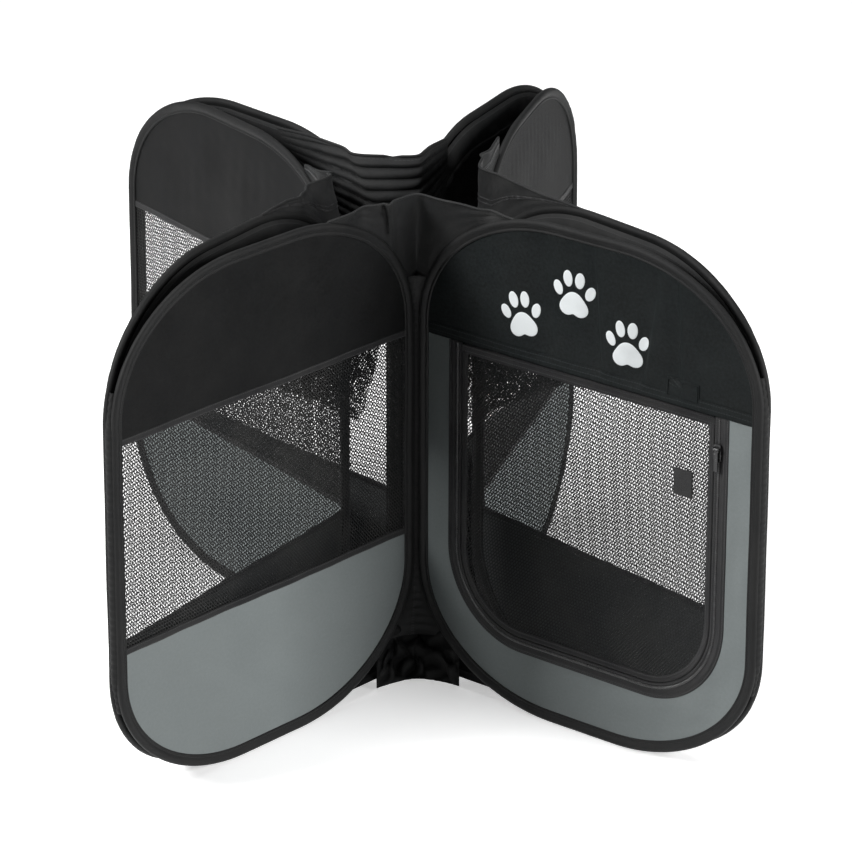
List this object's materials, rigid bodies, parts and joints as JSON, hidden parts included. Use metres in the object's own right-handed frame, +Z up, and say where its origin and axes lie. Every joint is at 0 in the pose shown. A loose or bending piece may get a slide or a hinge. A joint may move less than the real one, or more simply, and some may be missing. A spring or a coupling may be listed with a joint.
{
  "type": "pet playpen",
  "caption": "Pop-up fabric pet playpen: sprung panels with mesh windows joined in a ring, part folded into a star, with a zipped roll-up door and a soft top cover",
  "frame": {"origin": "on the ground, under the middle of the part-folded star's bounding box", "axes": "+Z up, -Y the front, towards the door side, +X to the right seen from the front"},
  "size_m": [0.7499, 0.9282, 0.61],
  "materials": {
    "sprung_steel": "bright sprung wire",
    "binding": "black woven binding tape",
    "black_cloth": "black woven cloth",
    "grey_cloth": "mid grey woven cloth",
    "window_mesh": "black net",
    "cover_mesh": "black net, soft",
    "zip_tape": "black woven zip tape with a nylon coil",
    "hook_tape": "black hook tape",
    "zip_slider": "black enamel"
  },
  "bodies": {
    "panel_1": {"panel_1_wire": "sprung_steel", "panel_1_binding": "binding", "panel_1_upper": "black_cloth", "door_surround": "grey_cloth", "frame_zip_tape": "zip_tape", "seam_fr": "binding", "seam_f": "binding", "cover_fr": "cover_mesh", "floor_fr": "black_cloth"},
    "panel_2": {"panel_2_wire": "sprung_steel", "panel_2_binding": "binding", "panel_2_upper": "black_cloth", "panel_2_window": "window_mesh", "panel_2_lower": "grey_cloth", "seam_r": "binding"},
    "panel_3": {"panel_3_wire": "sprung_steel", "panel_3_binding": "binding", "panel_3_upper": "black_cloth", "panel_3_window": "window_mesh", "panel_3_lower": "grey_cloth", "seam_br": "binding", "cover_br": "cover_mesh", "floor_br": "black_cloth"},
    "panel_4": {"panel_4_wire": "sprung_steel", "panel_4_binding": "binding", "panel_4_upper": "black_cloth", "panel_4_window": "window_mesh", "panel_4_lower": "grey_cloth"},
    "panel_5": {"panel_5_wire": "sprung_steel", "panel_5_binding": "binding", "panel_5_upper": "black_cloth", "panel_5_window": "window_mesh", "panel_5_lower": "grey_cloth"},
    "panel_6": {"panel_6_wire": "sprung_steel", "panel_6_binding": "binding", "panel_6_upper": "black_cloth", "panel_6_window": "window_mesh", "panel_6_lower": "grey_cloth", "seam_bl": "binding", "cover_bl": "cover_mesh", "floor_bl": "black_cloth"},
    "panel_7": {"panel_7_wire": "sprung_steel", "panel_7_binding": "binding", "panel_7_upper": "black_cloth", "panel_7_window": "window_mesh", "panel_7_lower": "grey_cloth", "seam_l": "binding"},
    "panel_8": {"panel_8_wire": "sprung_steel", "panel_8_binding": "binding", "panel_8_upper": "black_cloth", "panel_8_window": "window_mesh", "panel_8_lower": "grey_cloth", "seam_fl": "binding", "cover_fl": "cover_mesh", "floor_fl": "black_cloth"},
    "door": {"door_zip_tape": "zip_tape", "door_mesh": "window_mesh", "door_patch": "hook_tape"},
    "zip_slider": {"zip_slider": "zip_slider"},
    "zip_pull": {"zip_pull": "zip_slider"}
  },
  "joints": [
    {"name": "tip_fr", "type": "hinge", "parent": "panel_1", "child": "panel_2", "pos_m": [0.37077, -0.40688, 0.3], "axis": [0, 0, -1], "range_deg": [-5, 135.7], "deforming": ["cover_fr", "floor_fr"]},
    {"name": "valley_r", "type": "hinge", "parent": "panel_2", "child": "panel_3", "pos_m": [0.05402, -0.02001, 0.3], "axis": [0, 0, 1], "range_deg": [-3.89, 104.24]},
    {"name": "tip_br", "type": "hinge", "parent": "panel_3", "child": "panel_4", "pos_m": [0.18221, 0.46327, 0.3], "axis": [0, 0, -1], "range_deg": [-4.44, 119.1], "deforming": ["cover_br", "floor_br"]},
    {"name": "valley_f", "type": "hinge", "parent": "panel_1", "child": "panel_8", "pos_m": [-0.01387, -0.08743, 0.3], "axis": [0, 0, -1], "range_deg": [-5.28, 142.07]},
    {"name": "tip_fl", "type": "hinge", "parent": "panel_8", "child": "panel_7", "pos_m": [-0.34642, -0.4608, 0.3], "axis": [0, 0, 1], "range_deg": [-4.67, 125.56], "deforming": ["cover_fl", "floor_fl"]},
    {"name": "valley_l", "type": "hinge", "parent": "panel_7", "child": "panel_6", "pos_m": [-0.09107, -0.03092, 0.3], "axis": [0, 0, -1], "range_deg": [-3.92, 105.09]},
    {"name": "tip_bl", "type": "hinge", "parent": "panel_6", "child": "panel_5", "pos_m": [-0.37007, 0.384, 0.3], "axis": [0, 0, 1], "range_deg": [-4.4, 118.18], "deforming": ["cover_bl", "floor_bl"]},
    {"name": "door_fold", "type": "hinge", "parent": "panel_1", "child": "door", "pos_m": [0.17492, -0.24744, 0.4348], "axis": [-0.7629, 0.6466, 0], "range_deg": [0, 140]},
    {"name": "zip_slide", "type": "slide", "parent": "panel_1", "child": "zip_slider", "axis": [0, 0, -1], "range_m": [0, 0.19]},
    {"name": "pull_swing", "type": "hinge", "parent": "zip_slider", "child": "zip_pull", "pos_m": [0.31728, -0.37642, 0.4015], "axis": [-0.7629, 0.6466, 0], "range_deg": [0, 150]}
  ],
  "couplings": [
    {"joint": "valley_r", "follows": "tip_fr", "ratio": 0.76777},
    {"joint": "tip_br", "follows": "tip_fr", "ratio": 0.87732},
    {"joint": "valley_f", "follows": "tip_fr", "ratio": 1.0466},
    {"joint": "tip_fl", "follows": "tip_fr", "ratio": 0.92493},
    {"joint": "valley_l", "follows": "tip_fr", "ratio": 0.77409},
    {"joint": "tip_bl", "follows": "tip_fr", "ratio": 0.87055}
  ]
}
